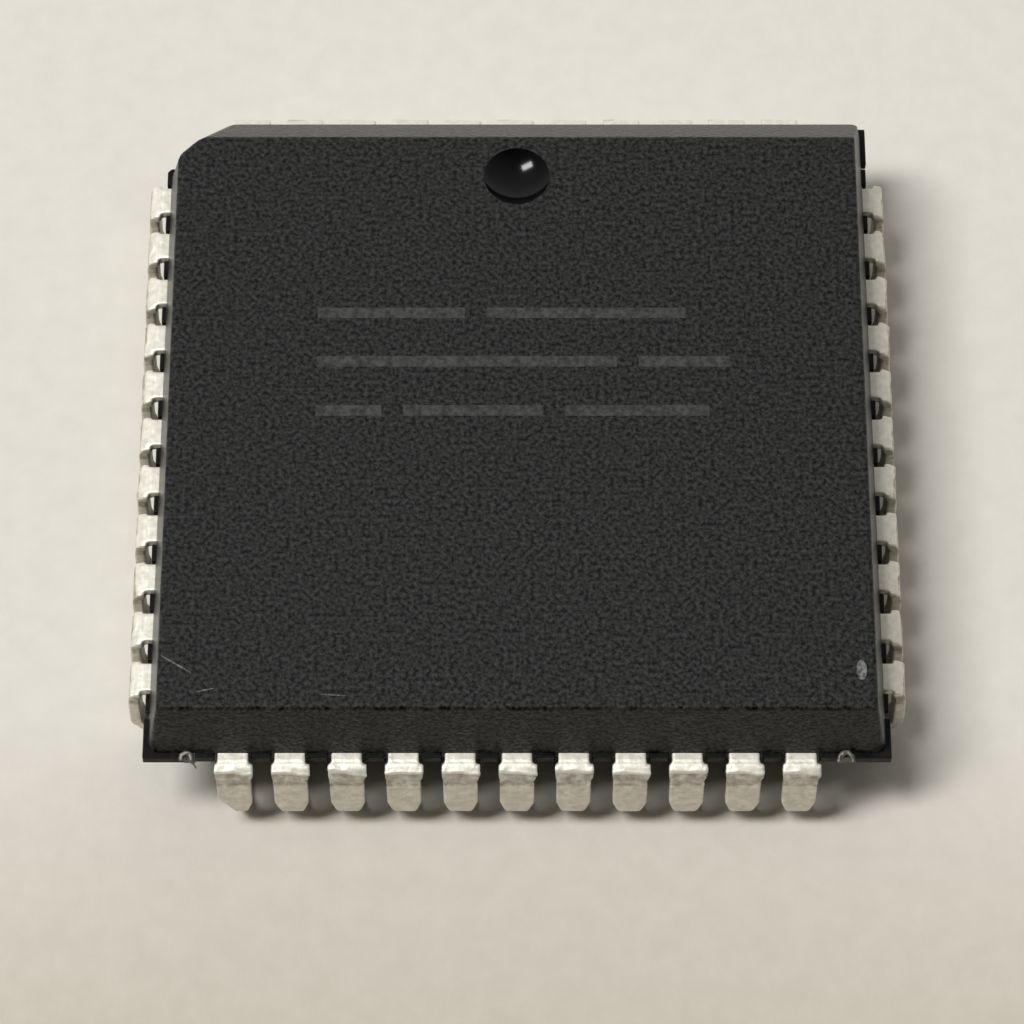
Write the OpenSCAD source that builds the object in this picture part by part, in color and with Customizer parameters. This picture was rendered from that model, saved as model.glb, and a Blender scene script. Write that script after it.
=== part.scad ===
// J-lead chip carrier: a moulded square body with a row of leads curled under each side.
// Millimetres, +Z up. The origin is the middle of the body on the plane that the leads stand on,
// +Y points to the side that holds the first pin.

/* [Lead rows] */
// Leads on each of the four sides
leads_per_side = 11; // [9:2:13]
// Distance between neighbouring leads
lead_pitch = 1.27; // [1.2:0.01:1.35]

/* [Body] */
// From the middle of a row's last lead to the body's edge at the parting line
end_margin = 1.905; // [1.85:0.005:2.1]
// Overall height, from the seating plane to the top face
overall_h = 4.3; // [4.1:0.01:4.57]
// Gap between the seating plane and the underside of the body
standoff = 0.66; // [0.51:0.01:0.8]
// Height of the middle of the lead frame above the seating plane
frame_z = 2.48; // [2.35:0.01:2.6]
// Draft of the moulded walls, in degrees from the vertical
wall_draft = 9.5; // [5:0.5:12]
// Height of the 45 degree bevel along the top edge of the first pin's side
bevel_h = 1.13; // [0.8:0.01:1.25]
// Leg of the cut corner left of the first pin, at the parting line
corner_cut = 1.17; // [1.0:0.01:1.5]
// Draft of the cut corner's face, in degrees from the vertical
corner_draft = 18; // [8:0.5:20]
// Leg of the small flat on the other three corners
corner_break = 0.12; // [0.05:0.01:0.3]
// How far the lower half is set in, to clear the leads
lower_inset = 0.55; // [0.4:0.05:0.7]

/* [First pin mark] */
// Diameter of the round hollow at its rim
dimple_d = 1.55; // [1.2:0.05:1.8]
// Depth of the hollow
dimple_depth = 0.3; // [0.1:0.02:0.5]
// From the middle of the hollow to the upper edge of the bevel
dimple_inset = 1.08; // [1.0:0.02:2.0]

/* [Parting line flash] */
// How far the thin flange stands out round the corners
flange_out = 0.12; // [0.05:0.01:0.2]
// How far the flash stands out between the leads
flash_out = 0.1; // [0.05:0.01:0.24]
// How far the flash runs on past the side of a row's last lead
flash_run = 0.55; // [0.4:0.01:0.65]
// Width of the break between the flash and a corner's flange
flash_break = 0.16; // [0.1:0.01:0.2]
// Gap between the flash and the lead beside it
flash_gap = 0.03; // [0.02:0.01:0.06]

/* [Leads] */
// Thickness of the lead frame
lead_t = 0.254; // [0.2:0.002:0.3]
// Width of a lead where it leaves the body
shoulder_w = 0.69; // [0.6:0.01:0.75]
// Width of a lead's upright shank
shank_w = 0.77; // [0.7:0.01:0.81]
// Width of a lead's foot
foot_w = 0.46; // [0.33:0.01:0.53]
// How far the leads stand out past the body's edge
lead_reach = 0.57; // [0.52:0.01:0.62]
// Straight length between the body's wall and the shoulder bend
shoulder_flat = 0.17; // [0.12:0.01:0.19]
// Inside radius of the shoulder bend
bend_r = 0.12; // [0.08:0.01:0.16]
// Outside radius of the foot's curl
curl_r = 0.95; // [0.8:0.01:1.0]
// How far the foot curls up past its lowest line, in degrees
curl_sweep = 70; // [50:1:80]
// How far the longer trimmed stub of the dam bar stands out from the shank
stub_out = 0.065; // [0.04:0.005:0.08]
// How far the shorter stub, on the other side, stands out
stub_short = 0.03; // [0.01:0.005:0.04]
// Height of the trimmed stubs
stub_h = 0.33; // [0.25:0.01:0.4]
// From the lead's top face down to the stubs
stub_drop = 0.035; // [0.02:0.005:0.06]
// Height above the seating plane where the shank starts to narrow
taper_z = 1.16; // [1.0:0.01:1.3]
// Height over which the shank narrows to the foot
taper_h = 0.6; // [0.3:0.01:0.7]

/* [Underside] */
// Room round the tip of a foot in its pocket
pocket_room = 0.17; // [0.1:0.01:0.2]
// Diameter of the round ejector mark
ejector_d = 3; // [2:0.1:4]
// Depth of the ejector mark
ejector_depth = 0.08; // [0.04:0.01:0.15]

/* [Lead frame inside] */
// Length of a lead inside the body before it turns to the chip
finger_run = 0.86; // [0.6:0.02:1.0]
// Width of a lead's inner tip
tip_w = 0.3; // [0.2:0.01:0.36]
// Gap between the die paddle and the inner tips
tip_gap = 0.45; // [0.35:0.01:0.6]
// Width of the square die paddle
paddle_w = 6.6; // [6:0.1:7]
// How far the paddle is set down below the leads
paddle_drop = 0.2; // [0.1:0.01:0.3]
// Width of the four tie bars
tie_w = 0.26; // [0.2:0.01:0.32]
// Length of the sloped step in each tie bar
tie_step = 0.4; // [0.3:0.02:0.6]

/* [Chip and wires] */
// Size of the silicon die along X
die_x = 4.8; // [4:0.1:5.4]
// Size of the silicon die along Y
die_y = 4.4; // [4:0.1:5.4]
// Thickness of the die
die_h = 0.4; // [0.3:0.01:0.5]
// Thickness of the bonding layer under the die
attach_h = 0.04; // [0.02:0.01:0.06]
// How far the bonding layer shows round the die
attach_margin = 0.15; // [0.05:0.01:0.3]
// Distance from the die's edge to the middle of its pads
pad_inset = 0.12; // [0.08:0.01:0.2]
// Distance along each edge of the die that holds no pads
pad_margin = 0.35; // [0.25:0.01:0.5]
// Diameter of the bond wire
wire_d = 0.033; // [0.025:0.001:0.04]
// Diameter of a wire's bonded end
bond_d = 0.09; // [0.08:0.005:0.12]
// Height of a wire's bonded end
bond_h = 0.05; // [0.045:0.005:0.07]
// Distance from a lead's inner tip to the wire's bond
bond_inset = 0.2; // [0.12:0.01:0.3]
// Half the angle that a wire's loop sweeps
loop_half = 35; // [30:1:45]

/* [Hidden] */
$fn = 48;
// Overrun of a cutting shape past what it cuts
over = 1;
// Flats that stand for the round of a bond wire
wire_sides = 6;

pin_count = 4 * leads_per_side;
row_half = (leads_per_side - 1) / 2;
body_half = row_half * lead_pitch + end_margin;

frame_lo = frame_z - lead_t / 2;
frame_hi = frame_z + lead_t / 2;
top_half = body_half - (overall_h - frame_hi) * tan(wall_draft);
lower_half = body_half - lower_inset;
base_half = lower_half - (frame_lo - standoff) * tan(wall_draft);
bevel_z = overall_h - bevel_h;
bevel_y = body_half - (bevel_z - frame_hi) * tan(wall_draft);
dimple_y = bevel_y - bevel_h - dimple_inset;
dimple_r = (dimple_d * dimple_d / 4 + dimple_depth * dimple_depth) / (2 * dimple_depth);

// Sideways extent of the flash, measured from the middle of a row
flash_side = max(shoulder_w, shank_w) / 2 + flash_gap;
flash_end = row_half * lead_pitch + shoulder_w / 2 + flash_run;
flange_end = flash_end + flash_break;

// Side view of a lead: u points out of the body. The shank is the line that touches the outside
// of the shoulder bend and the outside of the foot's curl.
bend_u = body_half + shoulder_flat;
bend_z = frame_lo - bend_r;
bend_out = bend_r + lead_t;
curl_in = curl_r - lead_t;
curl_u = body_half + lead_reach - curl_r;
span_u = curl_u - bend_u;
span_z = curl_r - bend_z;
centres = norm([span_u, span_z]);
flare = atan2(span_z, span_u) + acos((bend_out - curl_r) / centres);
shank_len = sqrt(centres * centres - (bend_out - curl_r) * (bend_out - curl_r));
stub_top = frame_hi - stub_drop;
stub_low = stub_top - stub_h;

pocket_in = curl_u - curl_r * sin(curl_sweep) - pocket_room;
pocket_top = curl_r - curl_in * cos(curl_sweep) + pocket_room;

// Plan of the lead frame
knee_u = body_half - finger_run;
tip_u = paddle_w / 2 + tip_gap;
fan = paddle_w / leads_per_side / lead_pitch;
tie_v = (flash_end + flange_end) / 2;

paddle_lo = frame_lo - paddle_drop;
attach_z = paddle_lo + lead_t;
die_z = attach_z + attach_h;
pad_z = die_z + die_h;
bond_u = tip_u + bond_inset;
bond_fan = fan + (1 - fan) * bond_inset / (knee_u - tip_u);

// Pins are numbered counter-clockwise from above, from the middle of the +Y side. Rows 0 to 3 are
// the +Y, -X, -Y and +X sides.
function seat(pin) = (pin - 1 + row_half) % pin_count;
function row(pin) = floor(seat(pin) / leads_per_side);
function place(pin) = seat(pin) % leads_per_side - row_half;
function lead_name(pin) = str("lead_", pin < 10 ? "0" : "", pin);

// Turns a row's own frame, with u along X and the run of the row along Y, to its side of the body
module on_row(index) {
    rotate([0, 0, 90 + 90 * index]) children();
}

module on_four_corners() {
    for (x = [0, 1], y = [0, 1]) {
        mirror([x, 0, 0]) mirror([0, y, 0]) children();
    }
}

// Upper and lower halves of the body in one outline, with the +Y bevel where cut is true
module wall_outline(cut) {
    far_top = cut ? [[bevel_y, bevel_z], [bevel_y - bevel_h, overall_h]] : [[top_half, overall_h]];
    polygon(concat(
        [[-base_half, standoff], [base_half, standoff], [lower_half, frame_lo]],
        [[body_half, frame_lo], [body_half, frame_hi]],
        far_top,
        [[-top_half, overall_h], [-body_half, frame_hi]],
        [[-body_half, frame_lo], [-lower_half, frame_lo]]
    ));
}

// Everything outside a drafted flat across a corner, along the corner's own diagonal. The flat is
// widest at the middle of the lead frame.
module corner_cutter(leg, draft) {
    face = (2 * body_half - leg) / sqrt(2);
    high = overall_h + over;
    low = standoff - over;
    outside = 2 * body_half;
    rotate([90, 0, 0]) linear_extrude(height = 2 * body_half, center = true) polygon([
        [face - (high - frame_z) * tan(draft), high],
        [outside, high],
        [outside, low],
        [face - (frame_z - low) * tan(draft), low],
        [face, frame_z]
    ]);
}

module body_form() {
    difference() {
        intersection() {
            rotate([90, 0, 0]) linear_extrude(height = 2 * body_half, center = true) wall_outline(false);
            rotate([90, 0, 90]) linear_extrude(height = 2 * body_half, center = true) wall_outline(true);
        }
        rotate([0, 0, 135]) corner_cutter(corner_cut, corner_draft);
        for (turn = [45, 225, 315]) {
            rotate([0, 0, turn]) corner_cutter(corner_break, wall_draft);
        }
    }
}

// Outline of the flange: the body's square, moved out, with its corner cut
module flange_outline() {
    half = body_half + flange_out;
    leg = corner_cut + (2 - sqrt(2)) * flange_out;
    polygon([[-half, -half], [half, -half], [half, half], [leg - half, half], [-half, half - leg]]);
}

module corner_flange() {
    translate([0, 0, frame_lo]) linear_extrude(height = lead_t) difference() {
        flange_outline();
        for (turn = [0:90:270]) {
            rotate(turn) translate([body_half, -flange_end]) square([flange_out + over, 2 * flange_end]);
        }
    }
}

// Everything past the flange's edge across the cut corner
module past_cut_corner() {
    face = (2 * body_half - corner_cut) / sqrt(2) + flange_out;
    rotate([0, 0, 135]) translate([face, -body_half, standoff]) cube([body_half, 2 * body_half, overall_h]);
}

// One side's flash: a tab in each gap between the leads and a longer one past each end
module flash_row() {
    root = top_half - body_half;
    translate([body_half, 0, frame_lo]) linear_extrude(height = lead_t) difference() {
        translate([root, -flash_end]) square([flash_out - root, 2 * flash_end]);
        for (i = [-row_half:row_half]) {
            translate([0, i * lead_pitch - flash_side]) square([flash_out + over, 2 * flash_side]);
        }
    }
}

module dimple() {
    translate([0, dimple_y, overall_h + dimple_r - dimple_depth]) sphere(r = dimple_r);
}

module ejector_mark() {
    translate([0, 0, standoff - over]) cylinder(d = ejector_d, h = over + ejector_depth);
}

// Room for one row's curled feet in the underside
module pocket_row() {
    half = foot_w / 2 + pocket_room;
    for (i = [-row_half:row_half]) {
        translate([pocket_in, i * lead_pitch - half, standoff - over])
            cube([body_half - pocket_in + over, 2 * half, pocket_top - standoff + over]);
    }
}

// The flat part of a lead, from the shoulder bend to its inner tip
module finger(v) {
    half = shoulder_w / 2;
    tip_v = v * fan;
    translate([0, 0, frame_lo]) linear_extrude(height = lead_t) polygon([
        [bend_u, v - half],
        [bend_u, v + half],
        [knee_u, v + half],
        [tip_u, tip_v + tip_w / 2],
        [tip_u, tip_v - tip_w / 2],
        [knee_u, v - half]
    ]);
}

module all_fingers() {
    for (pin = [1:pin_count]) {
        on_row(row(pin)) finger(place(pin) * lead_pitch);
    }
}

// The bent part of a lead, as wide as its stubs, drawn round the foot's curl: x points out of the
// shank and y runs up along it
module bent_strip() {
    width = shank_w + 2 * stub_out;
    translate([curl_u, 0, curl_r]) rotate([90, 0, 0]) rotate([0, 0, flare]) {
        mirror([0, 1, 0]) rotate_extrude(angle = flare + 90 + curl_sweep)
            translate([curl_in, -width / 2]) square([lead_t, width]);
        translate([curl_in, 0, -width / 2]) cube([lead_t, shank_len, width]);
        translate([curl_in - bend_r, shank_len, 0]) rotate_extrude(angle = 90 - flare)
            translate([bend_r, -width / 2]) square([lead_t, width]);
    }
}

// Front view of a lead, half of it, from the shoulder down to the foot
module half_front() {
    polygon([
        [0, frame_hi + over],
        [shoulder_w / 2, frame_hi + over],
        [shoulder_w / 2, stub_low],
        [shank_w / 2, stub_low],
        [shank_w / 2, taper_z],
        [foot_w / 2, taper_z - taper_h],
        [foot_w / 2, -over],
        [0, -over]
    ]);
}

// One trimmed stub in front view: square above, running out below
module half_stub(out) {
    stub_side = shank_w / 2 + out;
    polygon([
        [0, stub_top],
        [stub_side, stub_top],
        [stub_side, stub_top - stub_h / 2],
        [shank_w / 2, stub_low],
        [0, stub_low]
    ]);
}

// Runs a front view out along u
module front_from(u) {
    translate([u, 0, 0]) rotate([90, 0, 90]) linear_extrude(height = lead_reach + curl_r) children();
}

module bent_lead() {
    intersection() {
        bent_strip();
        union() {
            front_from(curl_u) {
                half_front();
                mirror([1, 0]) half_front();
            }
            front_from(bend_u + bend_r / 2) {
                half_stub(stub_out);
                mirror([1, 0]) half_stub(stub_short);
            }
            translate([curl_u - curl_r - over, -foot_w / 2, -over])
                cube([curl_r + over, foot_w, curl_r + over]);
        }
    }
}

// The tie bar of the +X +Y corner: a stepped diagonal, then a short run out through the side
module tie_bar() {
    paddle_corner = paddle_w / sqrt(2);
    step_at = paddle_corner + tie_w;
    turn_at = tie_v * sqrt(2);
    rotate([0, 0, 45]) rotate([90, 0, 0]) linear_extrude(height = tie_w, center = true) polygon([
        [paddle_corner - tie_w, paddle_lo],
        [step_at, paddle_lo],
        [step_at + tie_step, frame_lo],
        [turn_at, frame_lo],
        [turn_at, frame_hi],
        [step_at + tie_step, frame_hi],
        [step_at, attach_z],
        [paddle_corner - tie_w, attach_z]
    ]);
    translate([tie_v, tie_v, frame_lo]) cylinder(d = tie_w, h = lead_t);
    translate([tie_v - tie_w / 2, tie_v, frame_lo]) cube([tie_w, body_half, lead_t]);
}

module paddle_with_ties() {
    translate([-paddle_w / 2, -paddle_w / 2, paddle_lo]) cube([paddle_w, paddle_w, lead_t]);
    intersection() {
        on_four_corners() tie_bar();
        linear_extrude(height = overall_h) flange_outline();
    }
}

module attach_layer() {
    layer = [die_x + 2 * attach_margin, die_y + 2 * attach_margin, attach_h];
    translate([-layer.x / 2, -layer.y / 2, attach_z]) cube(layer);
}

module die_block() {
    translate([-die_x / 2, -die_y / 2, die_z]) cube([die_x, die_y, die_h]);
}

// One wire, in its row's frame: a bonded end on the die, a round loop and a bonded end on the lead
module wire(pin) {
    die_out = row(pin) % 2 == 0 ? die_y : die_x;
    die_along = row(pin) % 2 == 0 ? die_x : die_y;
    from = [die_out / 2 - pad_inset, place(pin) * (die_along / 2 - pad_margin) / row_half];
    to = [bond_u, place(pin) * lead_pitch * bond_fan];
    run = to - from;
    drop = frame_hi - pad_z;
    reach = norm(run);
    slope = atan2(drop, reach);
    loop_r = norm([reach, drop]) / 2 / sin(loop_half);
    middle = [reach / 2, bond_h / 2 + drop / 2] - loop_r * cos(loop_half) * [-sin(slope), cos(slope)];
    translate([from.x, from.y, pad_z]) rotate([0, 0, atan2(run.y, run.x)]) {
        cylinder(d = bond_d, h = bond_h);
        translate([reach, 0, drop]) cylinder(d = bond_d, h = bond_h);
        translate([middle.x, 0, middle.y]) rotate([90, 0, 0]) rotate([0, 0, 90 + slope - loop_half])
            rotate_extrude(angle = 2 * loop_half)
                translate([loop_r, 0]) circle(d = wire_d, $fn = wire_sides);
    }
}

module all_wires() {
    for (pin = [1:pin_count]) {
        on_row(row(pin)) wire(pin);
    }
}

module moulded_body() {
    color([0.19, 0.19, 0.2]) difference() {
        union() {
            body_form();
            corner_flange();
            difference() {
                for (index = [0:3]) {
                    on_row(index) flash_row();
                }
                past_cut_corner();
            }
        }
        dimple();
        ejector_mark();
        for (index = [0:3]) {
            on_row(index) pocket_row();
        }
        all_fingers();
        paddle_with_ties();
        attach_layer();
        die_block();
        all_wires();
    }
}

module die_paddle() {
    color([0.72, 0.62, 0.5]) paddle_with_ties();
}

module die_attach() {
    color([0.6, 0.6, 0.58]) attach_layer();
}

module silicon_die() {
    color([0.32, 0.34, 0.4]) die_block();
}

module bond_wires() {
    color([0.9, 0.74, 0.3]) all_wires();
}

module lead(pin) {
    v = place(pin) * lead_pitch;
    color([0.8, 0.78, 0.72]) on_row(row(pin)) {
        finger(v);
        translate([0, v, 0]) bent_lead();
    }
}

moulded_body();
die_paddle();
die_attach();
silicon_die();
bond_wires();
for (pin = [1:pin_count]) {
    lead(pin);
}
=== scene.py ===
import math
import random

import bmesh
import bpy
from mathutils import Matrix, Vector, noise


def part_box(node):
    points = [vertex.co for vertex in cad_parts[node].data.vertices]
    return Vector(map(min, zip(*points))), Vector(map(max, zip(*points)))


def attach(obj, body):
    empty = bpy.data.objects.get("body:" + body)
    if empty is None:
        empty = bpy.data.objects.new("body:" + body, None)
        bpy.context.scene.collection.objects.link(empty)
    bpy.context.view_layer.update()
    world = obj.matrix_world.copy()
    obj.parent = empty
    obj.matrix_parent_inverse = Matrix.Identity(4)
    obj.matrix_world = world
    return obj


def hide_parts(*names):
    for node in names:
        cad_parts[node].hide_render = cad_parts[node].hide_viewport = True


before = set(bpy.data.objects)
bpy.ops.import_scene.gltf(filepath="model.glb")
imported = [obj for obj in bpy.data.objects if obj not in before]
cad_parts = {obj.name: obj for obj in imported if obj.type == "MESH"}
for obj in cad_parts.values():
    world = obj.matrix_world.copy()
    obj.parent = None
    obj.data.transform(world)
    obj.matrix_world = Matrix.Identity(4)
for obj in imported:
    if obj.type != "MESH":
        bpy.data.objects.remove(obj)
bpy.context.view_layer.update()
bpy.ops.object.select_all(action="DESELECT")


# Lead frame
# The die paddle and its four tie bars are one stamping of copper alloy strip. The paddle carries the
# die, and the tie bars hold it in the frame until they are sheared off at the body's edge.
MM = 0.001


def finish(name, **sockets):
    made = bpy.data.materials.new(name)
    made.use_nodes = True
    for socket, value in sockets.items():
        made.node_tree.nodes["Principled BSDF"].inputs[socket.replace("_", " ")].default_value = value
    return made


def add(made, kind, inputs, **settings):
    node = made.node_tree.nodes.new("ShaderNode" + kind)
    for name, value in settings.items():
        setattr(node, name, value)
    for name, value in inputs.items():
        if isinstance(value, bpy.types.NodeSocket):
            made.node_tree.links.new(value, node.inputs[name])
        else:
            node.inputs[name].default_value = value
    return node


def feed(made, **sources):
    shader = made.node_tree.nodes["Principled BSDF"]
    for socket, source in sources.items():
        made.node_tree.links.new(source, shader.inputs[socket.replace("_", " ")])


def place_in_mm(made, stretch=(1, 1, 1)):
    spot = add(made, "TexCoord", {})
    scale = [part / MM for part in stretch]
    return add(made, "Mapping", {"Vector": spot.outputs["Object"], "Scale": scale}).outputs["Vector"]


def grain(made, place, scale, detail=2.0, roughness=0.5):
    inputs = {"Vector": place, "Scale": scale, "Detail": detail, "Roughness": roughness}
    return add(made, "TexNoise", inputs).outputs["Fac"]


def blend(made, amount, dark, light, low=0.35, high=0.65):
    ramp = add(made, "ValToRGB", {"Fac": amount})
    ramp.color_ramp.elements[0].position = low
    ramp.color_ramp.elements[0].color = (*dark, 1)
    ramp.color_ramp.elements[1].position = high
    ramp.color_ramp.elements[1].color = (*light, 1)
    return ramp.outputs["Color"]


def spread(made, amount, low, high, start=0.3, end=0.7):
    inputs = {"Value": amount, "From Min": start, "From Max": end, "To Min": low, "To Max": high}
    return add(made, "MapRange", inputs).outputs["Result"]


def relief(made, height, depth, strength=1.0, under=None):
    inputs = {"Height": height, "Distance": depth * MM, "Strength": strength}
    if under is not None:
        inputs["Normal"] = under
    return add(made, "Bump", inputs).outputs["Normal"]


def dress(node, made):
    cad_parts[node].data.materials.clear()
    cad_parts[node].data.materials.append(made)


copper = finish("stamped_copper_alloy", Metallic=1.0)
rolled = grain(copper, place_in_mm(copper, (1, 14, 14)), 2.5, 4)
tarnish = grain(copper, place_in_mm(copper), 1.6, 3)
across_y = add(copper, "SeparateXYZ", {"Vector": place_in_mm(copper)}).outputs["Y"]
from_middle = add(copper, "Math", {0: across_y}, operation="ABSOLUTE").outputs["Value"]
sheared = add(
    copper,
    "Mix",
    {
        "Factor": spread(copper, from_middle, 0, 1, 8.0, 8.05),
        "A": blend(copper, tarnish, (0.36, 0.26, 0.18), (0.55, 0.42, 0.3)),
        "B": blend(copper, tarnish, (0.05, 0.047, 0.04), (0.13, 0.125, 0.11)),
    },
    data_type="RGBA",
)
feed(
    copper,
    Base_Color=sheared.outputs["Result"],
    Roughness=spread(copper, rolled, 0.32, 0.5),
    Normal=relief(copper, rolled, 0.004),
)
dress("die_paddle", copper)


# Die bond
# A thin layer of silver-filled adhesive, squeezed out a little round the die and cured.
adhesive = finish("silver_filled_adhesive", Roughness=0.42)
flakes = grain(adhesive, place_in_mm(adhesive), 28, 2)
feed(
    adhesive,
    Base_Color=blend(adhesive, flakes, (0.3, 0.3, 0.29), (0.58, 0.58, 0.56)),
    Metallic=spread(adhesive, flakes, 0.3, 0.8),
    Normal=relief(adhesive, flakes, 0.006),
)
dress("die_attach", adhesive)


# Chip
# A square of silicon sawn from a wafer. Its upper face is passivated glass over the circuit, which
# shows as fine blocks of slightly different tints.
silicon = finish("passivated_silicon", Roughness=0.16, Coat_Weight=0.6)
blocks = add(silicon, "TexVoronoi", {"Vector": place_in_mm(silicon), "Scale": 3.4}, distance="CHEBYCHEV")
lines = grain(silicon, place_in_mm(silicon, (30, 4, 1)), 1.2, 2)
feed(
    silicon,
    Base_Color=blend(silicon, blocks.outputs["Distance"], (0.09, 0.1, 0.15), (0.2, 0.19, 0.24), 0.1, 0.5),
    Normal=relief(silicon, lines, 0.002),
)
dress("silicon_die", silicon)


# Bond wires
# Drawn gold wire, ball bonded to the chip's pads and stitched to the inner ends of the leads.
gold = finish("drawn_gold", Metallic=1.0)
drawn = grain(gold, place_in_mm(gold), 22, 2)
feed(
    gold,
    Base_Color=blend(gold, drawn, (0.8, 0.55, 0.18), (0.9, 0.68, 0.28)),
    Roughness=spread(gold, drawn, 0.18, 0.32),
)
dress("bond_wires", gold)


# Moulded body
# A block of black filled epoxy, transfer moulded round the lead frame in a spark-eroded cavity. Its walls
# lean in above and below the parting plane, the first pin's side is bevelled and one corner is cut.
# Sizes are in millimetres.
body_low, body_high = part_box("moulded_body")
pin_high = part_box("lead_01")[1]
overall_h = body_high.z / MM
standoff = body_low.z / MM
frame_t = 0.254
frame_hi = pin_high.z / MM
frame_lo = frame_hi - frame_t
frame_mid = frame_hi - frame_t / 2
flange_out = 0.12
body_half = body_high.x / MM - flange_out
lower_inset = 0.55
lower_half = body_half - lower_inset
wall_lean = math.radians(9.5)
bevel_h = 1.13
bevel_z = overall_h - bevel_h
bevel_y = body_half - (bevel_z - frame_hi) * math.tan(wall_lean)
cut_leg = 1.17
cut_lean = math.radians(18)
corner_leg = 0.12
corner_round = 0.07
edge_round = 0.1
cut_round = 0.17
cut_zone = 2.5 * cut_leg
above_frame = frame_hi + 0.2
lead_pitch = 1.27
leads_a_side = 11
row_end = (leads_a_side - 1) / 2 * lead_pitch


def only(piece):
    bpy.ops.object.select_all(action="DESELECT")
    piece.select_set(True)
    bpy.context.view_layer.objects.active = piece


def block(name, low, high):
    bpy.ops.object.select_all(action="DESELECT")
    middle = (Vector(low) + Vector(high)) / 2
    bpy.ops.mesh.primitive_cube_add(size=1, location=middle, scale=Vector(high) - Vector(low))
    bpy.ops.object.transform_apply(location=True, rotation=True, scale=True)
    bpy.context.object.name = name
    return bpy.context.object


def trim(point, outward, keep_all=False):
    bpy.ops.mesh.select_all(action="SELECT")
    bpy.ops.mesh.bisect(
        plane_co=point, plane_no=outward, use_fill=not keep_all, clear_outer=not keep_all, threshold=1e-7
    )


def pick_edges(piece, wanted):
    bpy.ops.mesh.select_mode(type="EDGE")
    bpy.ops.mesh.select_all(action="DESELECT")
    drawn = bmesh.from_edit_mesh(piece.data)
    for edge in drawn.edges:
        edge.select_set(len(edge.link_faces) == 2 and wanted(edge))
    bmesh.update_edit_mesh(piece.data)


def join(pieces):
    only(pieces[0])
    for piece in pieces:
        piece.select_set(True)
    bpy.ops.object.join()
    return bpy.context.object


def carve(piece, cutter, operation="DIFFERENCE"):
    only(piece)
    cut = piece.modifiers.new("cut", "BOOLEAN")
    cut.operation = operation
    cut.solver = "EXACT"
    cut.object = cutter
    bpy.ops.object.modifier_apply(modifier=cut.name)
    bpy.data.objects.remove(cutter)


def even_shading(piece, angle=35):
    only(piece)
    bpy.ops.object.shade_smooth_by_angle(angle=math.radians(angle))
    weighted = piece.modifiers.new("weighted", "WEIGHTED_NORMAL")
    weighted.keep_sharp = True
    bpy.ops.object.modifier_apply(modifier=weighted.name)


def seat(piece, made):
    only(piece)
    piece.scale = (MM, MM, MM)
    bpy.ops.object.transform_apply(location=True, rotation=True, scale=True)
    piece.data.materials.clear()
    piece.data.materials.append(made)
    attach(piece, "root")


def trim_corners(ways):
    for turn in range(4):
        angle = math.pi / 4 + turn * math.pi / 2
        out = Vector((math.cos(angle), math.sin(angle), 0))
        leg, lean = (cut_leg, cut_lean) if turn == 1 else (corner_leg, wall_lean)
        foot = out * (2 * body_half - leg) / math.sqrt(2) + Vector((0, 0, frame_mid))
        for way in ways:
            trim(foot, out * math.cos(lean) + Vector((0, 0, way * math.sin(lean))))


def trim_walls(half, height, way):
    for turn in range(4):
        out = Vector((math.cos(turn * math.pi / 2), math.sin(turn * math.pi / 2), 0))
        foot = out * half + Vector((0, 0, height))
        trim(foot, out * math.cos(wall_lean) + Vector((0, 0, way * math.sin(wall_lean))))


def weigh(piece, weight, wanted):
    pick_edges(piece, lambda edge: edge.calc_face_angle(0) > math.radians(25) and wanted(edge))
    bpy.ops.transform.edge_bevelweight(value=weight)


def round_off(piece, offset, segments=4):
    only(piece)
    soft = piece.modifiers.new("soft", "BEVEL")
    soft.limit_method = "WEIGHT"
    soft.width = offset
    soft.segments = segments
    soft.use_clamp_overlap = False
    bpy.ops.object.modifier_apply(modifier=soft.name)


def height_of(edge):
    return (edge.verts[0].co.z + edge.verts[1].co.z) / 2


def stands(edge):
    return abs(edge.verts[0].co.z - edge.verts[1].co.z) > 0.5


def at_cut(edge):
    middle = (edge.verts[0].co + edge.verts[1].co) / 2
    return middle.y - middle.x > 2 * body_half - cut_zone


shell = block("body_shell", (-body_half, -body_half, frame_lo), (body_half, body_half, overall_h))
bpy.ops.object.mode_set(mode="EDIT")
trim_walls(body_half, frame_hi, 1)
trim_corners((1, -1))
trim((0, bevel_y, bevel_z), (0, 1, 1))
weigh(shell, corner_round / cut_round, stands)
weigh(shell, 1, lambda edge: stands(edge) and at_cut(edge))
weigh(shell, edge_round / cut_round, lambda edge: height_of(edge) > above_frame and not stands(edge))
bpy.ops.object.mode_set(mode="OBJECT")
round_off(shell, cut_round)

lower = block("lower_half", (-lower_half, -lower_half, standoff), (lower_half, lower_half, frame_mid))
bpy.ops.object.mode_set(mode="EDIT")
trim_walls(lower_half, frame_lo, -1)
trim_corners((-1,))
weigh(lower, 1, lambda edge: height_of(edge) < frame_lo)
bpy.ops.object.mode_set(mode="OBJECT")
round_off(lower, corner_round)
carve(shell, lower, "UNION")

# The first pin's mark is left by a polished spherical pin in the cavity.
dimple_d = 1.55
dimple_depth = 0.3
dimple_inset = 1.08
dimple_y = bevel_y - bevel_h - dimple_inset
dimple_r = (dimple_d ** 2 / 4 + dimple_depth ** 2) / (2 * dimple_depth)
bpy.ops.mesh.primitive_uv_sphere_add(
    segments=128, ring_count=96, radius=dimple_r, location=(0, dimple_y, overall_h + dimple_r - dimple_depth)
)
bpy.ops.object.transform_apply(location=True, rotation=True, scale=True)
carve(shell, bpy.context.object)

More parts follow.
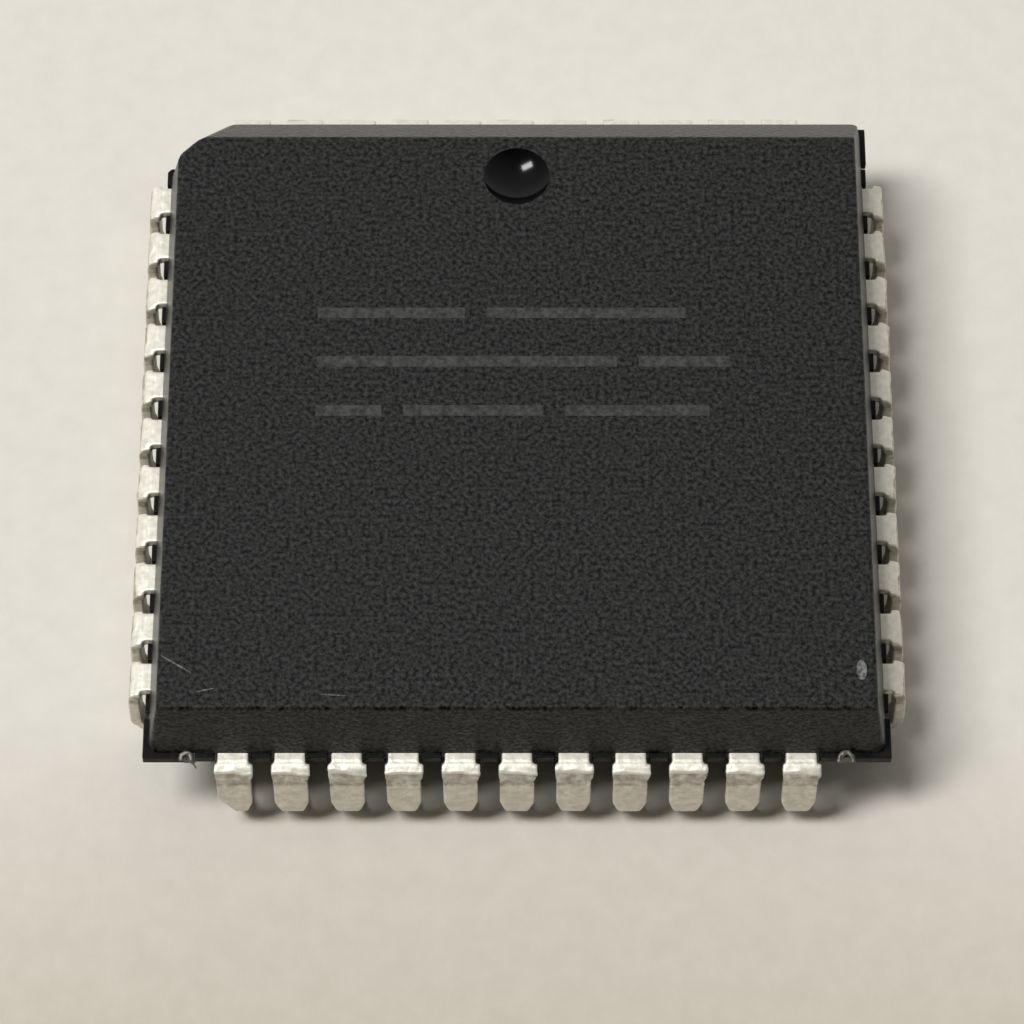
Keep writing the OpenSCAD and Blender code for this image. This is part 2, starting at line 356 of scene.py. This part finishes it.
# Handling has left a nick near one edge and a few scratches along the near side. Each has a place, a
# reach along its length, its width and its depth, and a turn in degrees.
knocks = [
    ((7.63, -7.02), (0.12, 0.25, 0.05), 0),
    ((-7.58, -6.87), (0.42, 0.02, 0.014), -32),
    ((-6.9, -7.52), (0.2, 0.018, 0.012), 12),
    ((-4.07, -7.64), (0.3, 0.016, 0.01), -4),
]
for spot, reach, angle in knocks:
    bpy.ops.mesh.primitive_uv_sphere_add(segments=24, ring_count=16, location=(*spot, overall_h), scale=reach)
    bpy.context.object.rotation_euler.z = math.radians(angle)
    bpy.ops.object.transform_apply(location=True, rotation=True, scale=True)
    carve(shell, bpy.context.object)

# Under the body an ejector pin leaves a shallow round, and each lead's foot has a pocket.
ejector_d = 3.0
ejector_depth = 0.08
bpy.ops.mesh.primitive_cylinder_add(
    vertices=96, radius=ejector_d / 2, depth=2 * ejector_depth, location=(0, 0, standoff)
)
bpy.ops.object.transform_apply(location=True, rotation=True, scale=True)
carve(shell, bpy.context.object)
pocket_half = 0.4
pocket_in = 6.812
pocket_top = 0.882
pockets = []
for turn in range(4):
    for index in range(leads_a_side):
        along = index * lead_pitch - row_end
        pocket = block(
            "pocket",
            (pocket_in, along - pocket_half, standoff - 1),
            (body_half + 1, along + pocket_half, pocket_top),
        )
        pocket.rotation_euler.z = turn * math.pi / 2
        bpy.ops.object.transform_apply(location=True, rotation=True, scale=True)
        pockets.append(pocket)
carve(shell, join(pockets))

compound = finish("filled_epoxy", IOR=1.25)
eroded = grain(compound, place_in_mm(compound), 10, 2, 0.6)
cloudy = grain(compound, place_in_mm(compound), 1.1, 3)
outward = add(compound, "TexCoord", {}).outputs["Normal"]
level = add(compound, "SeparateXYZ", {"Vector": outward}).outputs["Z"]
compound_colour = blend(compound, eroded, (0.001, 0.0012, 0.0012), (0.043, 0.0438, 0.0425), 0.35, 0.72)
feed(
    compound,
    Base_Color=compound_colour,
    Roughness=spread(compound, level, 0.3, 0.56, 0.8, 0.98),
    Normal=relief(compound, eroded, 0.028, 1.0, relief(compound, cloudy, 0.01)),
)
even_shading(shell)
seat(shell, compound)
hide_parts("moulded_body")

# The polished round takes a finish of its own.
polished = finish("polished_epoxy", IOR=1.32)
haze = grain(polished, place_in_mm(polished), 3, 2)
feed(
    polished,
    Base_Color=blend(polished, haze, (0.001, 0.001, 0.0011), (0.002, 0.002, 0.0023)),
    Roughness=spread(polished, haze, 0.12, 0.15),
)
shell.data.materials.append(polished)
hollow = Vector((0, dimple_y, overall_h)) * MM
for face in shell.data.polygons:
    reach = (face.center - hollow).to_2d().length
    if reach < dimple_d / 2 * MM and face.center.z < hollow.z - 1e-7 and face.center.z > hollow.z / 2:
        face.material_index = 1

# The knocks show the pale filler in the compound.
chipped = finish("chipped_epoxy", Roughness=0.7)
filler = grain(chipped, place_in_mm(chipped), 12, 2)
feed(chipped, Base_Color=blend(chipped, filler, (0.05, 0.05, 0.048), (0.2, 0.2, 0.19)))
shell.data.materials.append(chipped)
chip_low = overall_h - 0.2
chip_high = overall_h - 0.001
for face in shell.data.polygons:
    flat = face.center.xy / MM
    hit = any((flat - Vector(spot)).length < max(reach) for spot, reach, _ in knocks)
    if hit and chip_low < face.center.z / MM < chip_high:
        face.material_index = 2

# A few plain bars are marked on the top face, a shade lighter than the compound.
bar_half = 0.14
bar_low = overall_h - 0.02
bar_high = overall_h + 0.002
bar_rows = [
    (2.2, [(-4.6, -1.2), (-0.7, 3.9)]),
    (0.9, [(-4.6, 2.3), (2.8, 4.9)]),
    (-0.4, [(-4.6, -3.1), (-2.6, 0.6), (1.1, 4.4)]),
]
bars = []
for row_y, ends in bar_rows:
    for start, end in ends:
        bars.append(block("bar", (start, row_y - bar_half, bar_low), (end, row_y + bar_half, bar_high)))
marking = join(bars)
marking.name = "marked_bars"
paler = finish("marked_epoxy", Roughness=0.62, IOR=1.35)
worn_mark = grain(paler, place_in_mm(paler), 8, 3, 0.6)
feed(paler, Base_Color=blend(paler, worn_mark, (0.018, 0.0185, 0.017), (0.06, 0.061, 0.056)))
seat(marking, paler)


# Flash and flange
# Compound that ran out along the parting plane, as thick as the lead frame: a tab in each gap between the
# leads and a flange round each corner. It set against polished steel, so it is smooth and shiny.
flash_out = 0.1
flash_gap = 0.03
flash_run = 0.55
flash_break = 0.16
shoulder_w = 0.69
shank_w = 0.77
flash_side = shank_w / 2 + flash_gap
flash_end = row_end + shoulder_w / 2 + flash_run
flange_end = flash_end + flash_break
tie_v = (flash_end + flange_end) / 2
tie_w = 0.26
inside = 0.5
flash_round = 0.03

flange = block(
    "corner_flange",
    (-body_half - flange_out, -body_half - flange_out, frame_lo),
    (body_half + flange_out, body_half + flange_out, frame_hi),
)
bpy.ops.object.mode_set(mode="EDIT")
cut_out = Vector((-1, 1, 0)).normalized()
trim(cut_out * ((2 * body_half - cut_leg) / math.sqrt(2) + flange_out), cut_out)
weigh(flange, 1, lambda edge: True)
bpy.ops.object.mode_set(mode="OBJECT")
round_off(flange, flash_round, 3)
gaps = []
for turn in range(4):
    gap = block(
        "gap",
        (body_half - inside, -flange_end, frame_lo - 1),
        (body_half + 1, flange_end, frame_hi + 1),
    )
    gap.rotation_euler.z = turn * math.pi / 2
    bpy.ops.object.transform_apply(location=True, rotation=True, scale=True)
    gaps.append(gap)
carve(flange, join(gaps))

tabs = []
for turn in range(4):
    edges = [-flash_end]
    for index in range(leads_a_side):
        along = index * lead_pitch - row_end
        edges += [along - flash_side, along + flash_side]
    edges.append(flash_end)
    for start, end in zip(edges[::2], edges[1::2]):
        tab = block("tab", (body_half - inside, start, frame_lo), (body_half + flash_out, end, frame_hi))
        tab.rotation_euler.z = turn * math.pi / 2
        bpy.ops.object.transform_apply(location=True, rotation=True, scale=True)
        bpy.ops.object.mode_set(mode="EDIT")
        trim(cut_out * ((2 * body_half - cut_leg) / math.sqrt(2) + flange_out), cut_out)
        weigh(tab, 1, lambda edge: True)
        bpy.ops.object.mode_set(mode="OBJECT")
        round_off(tab, flash_round, 3)
        tabs.append(tab)
flash = join([flange] + tabs)
flash.name = "parting_flash"
slot_reach = Vector((tie_w / 2, inside, frame_t))
slots = []
for side_x in (-1, 1):
    for side_y in (-1, 1):
        corner = Vector((side_x * tie_v, side_y * (body_half + inside), frame_mid))
        slots.append(block("slot", corner - slot_reach, corner + slot_reach))
carve(flash, join(slots))

# Painted shade: the flash is coloured much darker than the body's compound, for the shadow it sits in between
# the leads and round the corners.
shiny = finish("flash_epoxy_painted_shade", IOR=1.25)
flow = grain(shiny, place_in_mm(shiny), 5, 3)
feed(
    shiny,
    Base_Color=blend(shiny, flow, (0.002, 0.002, 0.002), (0.006, 0.0055, 0.005)),
    Roughness=spread(shiny, flow, 0.35, 0.55),
    Normal=relief(shiny, flow, 0.012),
)
even_shading(flash)
seat(flash, shiny)
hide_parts("moulded_body")


# Leads
# Forty-four copper alloy leads, trimmed from the frame, bent into a J under the body and dipped in
# tin-lead. The plate rounds their edges, and forming has left a lip, a scraped face and dents on them.
plate_cell = 0.032
plain_inside = 0.3
lip_z = 2.49
lip_rise = 0.02
crease_out = 0.22
crease_depth = 0.012
scrape_end = 2.0
scrape_depth = 0.036
worn_z = 1.4
worn_h = 0.7
worn_share = 0.87
marks = random.Random(44)

plate = finish("dull_tin_lead_plate", Metallic=0.45)
dull = grain(plate, place_in_mm(plate), 7, 3, 0.6)
drag = grain(plate, place_in_mm(plate, (1, 1, 0.3)), 14, 3)
# Painted shade: from the lip down, the plate is mixed towards a dark brown-grey, fully as far as the end of
# the scrape and at 0.4 below it, mottled in patches by noise. It stands for the shade under the lip and on
# the steep shank, while the shoulder stays bright.
shade_mottle = grain(plate, place_in_mm(plate), 4, 4, 0.6)
height = add(plate, "SeparateXYZ", {"Vector": place_in_mm(plate)}).outputs["Z"]
below_lip = spread(plate, height, 1, 0, lip_z - 0.05, lip_z)
above_end = spread(plate, height, 0.4, 1, scrape_end - 0.04, scrape_end + 0.02)
band = add(plate, "Math", {0: below_lip, 1: above_end}, operation="MULTIPLY").outputs["Value"]
painted_shade_below_lip = add(plate, "Math", {0: band, 1: spread(plate, shade_mottle, 0.15, 1, 0.35, 0.65)}, operation="MULTIPLY")
clean = blend(plate, dull, (0.78, 0.75, 0.645), (0.92, 0.89, 0.785))
tone = add(
    plate,
    "Mix",
    {"Factor": painted_shade_below_lip.outputs["Value"], "A": clean, "B": (0.36, 0.33, 0.27, 1)},
    data_type="RGBA",
)
feed(
    plate,
    Base_Color=tone.outputs["Result"],
    Roughness=spread(plate, dull, 0.44, 0.56),
    Normal=relief(plate, drag, 0.006),
)


def ease(start, end, value):
    part = min(1, max(0, (value - start) / (end - start)))
    return part * part * (3 - 2 * part)


def bump(middle, half, value):
    return math.exp(-((value - middle) / half) ** 2)


def form_face(lead, out, across, along, worn):
    lip = lip_z + marks.uniform(-0.02, 0.02)
    lip_tilt = marks.uniform(-0.08, 0.08)
    fold = marks.uniform(0.0, 0.1)
    depth = scrape_depth * marks.uniform(0.7, 1.25)
    line = marks.uniform(0.006, 0.02)
    dents = [
        [marks.uniform(*span) for span in ((-0.3, 0.3), (1.35, 2.4), (0.05, 0.1), (0, 0.025))]
        for _ in range(5)
    ]
    lean = (out * 0.9 + Vector((0, 0, 0.44))).normalized()
    normals = [vert.normal.copy() for vert in lead.data.vertices]
    for vert, normal in zip(lead.data.vertices, normals):
        side = vert.co.dot(across) - along
        past = vert.co.dot(out) - body_half
        z = vert.co.z
        if past < 0:
            continue
        facing = ease(0.15, 0.5, normal.dot(lean))
        rough = noise.noise(vert.co * 5)
        edge = lip + lip_tilt * side - fold * ease(0.0, 0.25, side) + 0.02 * rough
        scraped = ease(edge, edge - 0.04, z) * (1 - 0.8 * ease(scrape_end + 0.04, scrape_end - 0.04, z))
        push = lip_rise * bump(edge + 0.03, 0.03, z) - depth * scraped * ease(-0.2, 0.4, z)
        push -= crease_depth * bump(crease_out + 0.02 * rough, 0.02, past)
        push -= line * bump(scrape_end, 0.025, z) * (1 + noise.noise(vert.co * 9))
        for dent_side, dent_z, reach, sink in dents:
            push -= sink * bump(dent_side, reach, side) * bump(dent_z, reach, z)
        vert.co += normal * (push * facing + 0.005 * rough)
        if worn and side < 0 and z < worn_z:
            vert.co -= across * side * worn_share * min(1, (worn_z - z) / worn_h)


for pin in range(1, 4 * leads_a_side + 1):
    node = f"lead_{pin:02d}"
    place = (pin - 1 + leads_a_side // 2) % (4 * leads_a_side)
    turn = math.pi / 2 * (1 + place // leads_a_side)
    out = Vector((math.cos(turn), math.sin(turn), 0))
    across = Vector((-math.sin(turn), math.cos(turn), 0))
    along = place % leads_a_side * lead_pitch - row_end
    lead = bpy.data.objects.new(f"plated_{node}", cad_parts[node].data.copy())
    bpy.context.scene.collection.objects.link(lead)
    only(lead)
    lead.scale = (1 / MM, 1 / MM, 1 / MM)
    bpy.ops.object.transform_apply(location=True, rotation=True, scale=True)
    bpy.ops.object.mode_set(mode="EDIT")
    bpy.ops.mesh.select_all(action="SELECT")
    bpy.ops.mesh.remove_doubles(threshold=0.0005)
    bpy.ops.object.mode_set(mode="OBJECT")
    plated = lead.modifiers.new("plated", "REMESH")
    plated.mode = "VOXEL"
    plated.voxel_size = plate_cell
    bpy.ops.object.modifier_apply(modifier=plated.name)
    rounded = lead.modifiers.new("rounded", "SMOOTH")
    rounded.iterations = 3
    bpy.ops.object.modifier_apply(modifier=rounded.name)
    form_face(lead, out, across, along, place == 2 * leads_a_side)
    bpy.ops.object.mode_set(mode="EDIT")
    bpy.ops.mesh.select_mode(type="FACE")
    bpy.ops.mesh.select_all(action="DESELECT")
    drawn = bmesh.from_edit_mesh(lead.data)
    for face in drawn.faces:
        face.select_set(face.calc_center_median().dot(out) < body_half - plain_inside)
    bmesh.update_edit_mesh(lead.data)
    bpy.ops.mesh.dissolve_limited(angle_limit=math.radians(5))
    bpy.ops.object.mode_set(mode="OBJECT")
    bpy.ops.object.shade_smooth_by_angle(angle=math.radians(60))
    seat(lead, plate)
    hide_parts(node)


# Tie bar scraps
# Where the tie bars were sheared off, two burrs of the frame's metal stay at the near corners: a small
# arch on the right, and a hook with a pointed tail on the left.
burr_cell = 0.012
burr_rough = 0.03
arch_tilt = math.radians(30)
arch_cut = Vector((0, -0.87, -0.5))
arch_foot = Vector((0, -0.05, -0.03))


def arch(middle, reach, thickness):
    bpy.ops.mesh.primitive_torus_add(
        major_segments=48, minor_segments=16, major_radius=reach, minor_radius=thickness, location=middle
    )
    bpy.context.object.rotation_euler.x = arch_tilt
    bpy.ops.object.transform_apply(location=True, rotation=True, scale=True)
    bpy.ops.object.mode_set(mode="EDIT")
    trim(Vector(middle) + arch_foot, arch_cut)
    bpy.ops.object.mode_set(mode="OBJECT")
    return bpy.context.object


def burr(name, pieces):
    made = join(pieces)
    made.name = name
    torn = made.modifiers.new("torn", "REMESH")
    torn.mode = "VOXEL"
    torn.voxel_size = burr_cell
    bpy.ops.object.modifier_apply(modifier=torn.name)
    normals = [vert.normal.copy() for vert in made.data.vertices]
    for vert, normal in zip(made.data.vertices, normals):
        vert.co += normal * burr_rough * noise.noise(vert.co * 9)
    bpy.ops.object.shade_smooth_by_angle(angle=math.radians(60))
    seat(made, dark_burr)


dark_burr = finish("torn_frame_metal", Metallic=0.6)
torn_face = grain(dark_burr, place_in_mm(dark_burr), 9, 3)
feed(
    dark_burr,
    Base_Color=blend(dark_burr, torn_face, (0.11, 0.108, 0.095), (0.26, 0.255, 0.23)),
    Roughness=spread(dark_burr, torn_face, 0.4, 0.6),
)
tie_end = body_half + 0.16
bpy.ops.object.select_all(action="DESELECT")
burr("arched_burr", [arch((tie_v + 0.03, -tie_end, frame_hi), 0.15, 0.055)])
bpy.ops.object.select_all(action="DESELECT")
hook = arch((-tie_v - 0.07, -tie_end + 0.04, frame_hi), 0.11, 0.05)
tail_from = Vector((-tie_v + 0.03, -tie_end + 0.02, frame_hi))
tail_to = Vector((-tie_v + 0.15, -tie_end - 0.14, frame_hi - 0.16))
bpy.ops.object.select_all(action="DESELECT")
tail = tail_to - tail_from
tail_middle = (tail_from + tail_to) / 2
bpy.ops.mesh.primitive_cone_add(
    vertices=16, radius1=0.055, radius2=0.018, depth=tail.length, location=tail_middle
)
bpy.context.object.rotation_euler = tail.to_track_quat("Z", "Y").to_euler()
bpy.ops.object.transform_apply(location=True, rotation=True, scale=True)
burr("hooked_burr", [hook, bpy.context.object])


# Floor
# A plain sheet of warm white paper with a faint mottle. Its colour is painted darker and browner towards the
# front: painted shade where the light falls away.
bpy.ops.object.select_all(action="DESELECT")
bpy.ops.mesh.primitive_plane_add(size=1.2)
floor = bpy.context.object
floor.name = "paper_floor"
paper = finish("warm_white_paper", Roughness=0.9, IOR=1.3)
fibres = grain(paper, place_in_mm(paper), 1.5, 5, 0.6)
front = add(paper, "SeparateXYZ", {"Vector": place_in_mm(paper)}).outputs["Y"]
# Painted shade: the paper's colour darkens and browns towards the front.
shaded_towards_front = add(
    paper,
    "Mix",
    {
        "Factor": spread(paper, front, 1, 0, -18, -6),
        "A": blend(paper, fibres, (0.705, 0.675, 0.61), (0.735, 0.705, 0.64)),
        "B": blend(paper, fibres, (0.49, 0.425, 0.335), (0.52, 0.455, 0.36)),
    },
    data_type="RGBA",
)
feed(paper, Base_Color=shaded_towards_front.outputs["Result"], Normal=relief(paper, fibres, 0.02))
floor.data.materials.append(paper)


# Light
# One long soft lamp high on the left, and a dim room that is darker in front.
world = bpy.data.worlds.new("dim_room")
world.use_nodes = True
room = world.node_tree
room.nodes["Background"].inputs["Color"].default_value = (1.0, 0.98, 0.95, 1)
way = room.nodes.new("ShaderNodeTexCoord").outputs["Generated"]
split = room.nodes.new("ShaderNodeSeparateXYZ")
room.links.new(way, split.inputs["Vector"])
shade = room.nodes.new("ShaderNodeMapRange")
for name, value in {"From Min": -0.8, "From Max": 0.8, "To Min": 0.02, "To Max": 0.58}.items():
    shade.inputs[name].default_value = value
room.links.new(split.outputs["Y"], shade.inputs["Value"])
room.links.new(shade.outputs["Result"], room.nodes["Background"].inputs["Strength"])
bpy.context.scene.world = world


def lamp(name, towards, distance, length, width, power):
    bpy.ops.object.light_add(type="AREA", location=Vector(towards).normalized() * distance)
    made = bpy.context.object
    made.name = name
    made.data.shape = "RECTANGLE"
    made.data.size = width
    made.data.size_y = length
    made.data.energy = power
    made.rotation_euler = Vector(towards).to_track_quat("Z", "Y").to_euler()


lamp("long_lamp", (-0.44, -0.13, 1.0), 0.6, 0.26, 0.13, 3.05)


# Camera
# It looks down on the near side from the front at the height of a hand-held close-up.
target = Vector((-0.113, -1.898, 2.2)) * MM
elevation = math.radians(61.42)
distance = 105.916 * MM
frame_px = 1024
focal_px = 4587.9
back = Vector((0, -math.cos(elevation), math.sin(elevation)))
bpy.ops.object.camera_add(location=target + back * distance)
camera = bpy.context.object
camera.rotation_euler = back.to_track_quat("Z", "Y").to_euler()
camera.data.lens = focal_px / frame_px * camera.data.sensor_width
camera.data.clip_start = 0.01
bpy.context.scene.camera = camera
bpy.context.scene.view_settings.view_transform = "Standard"
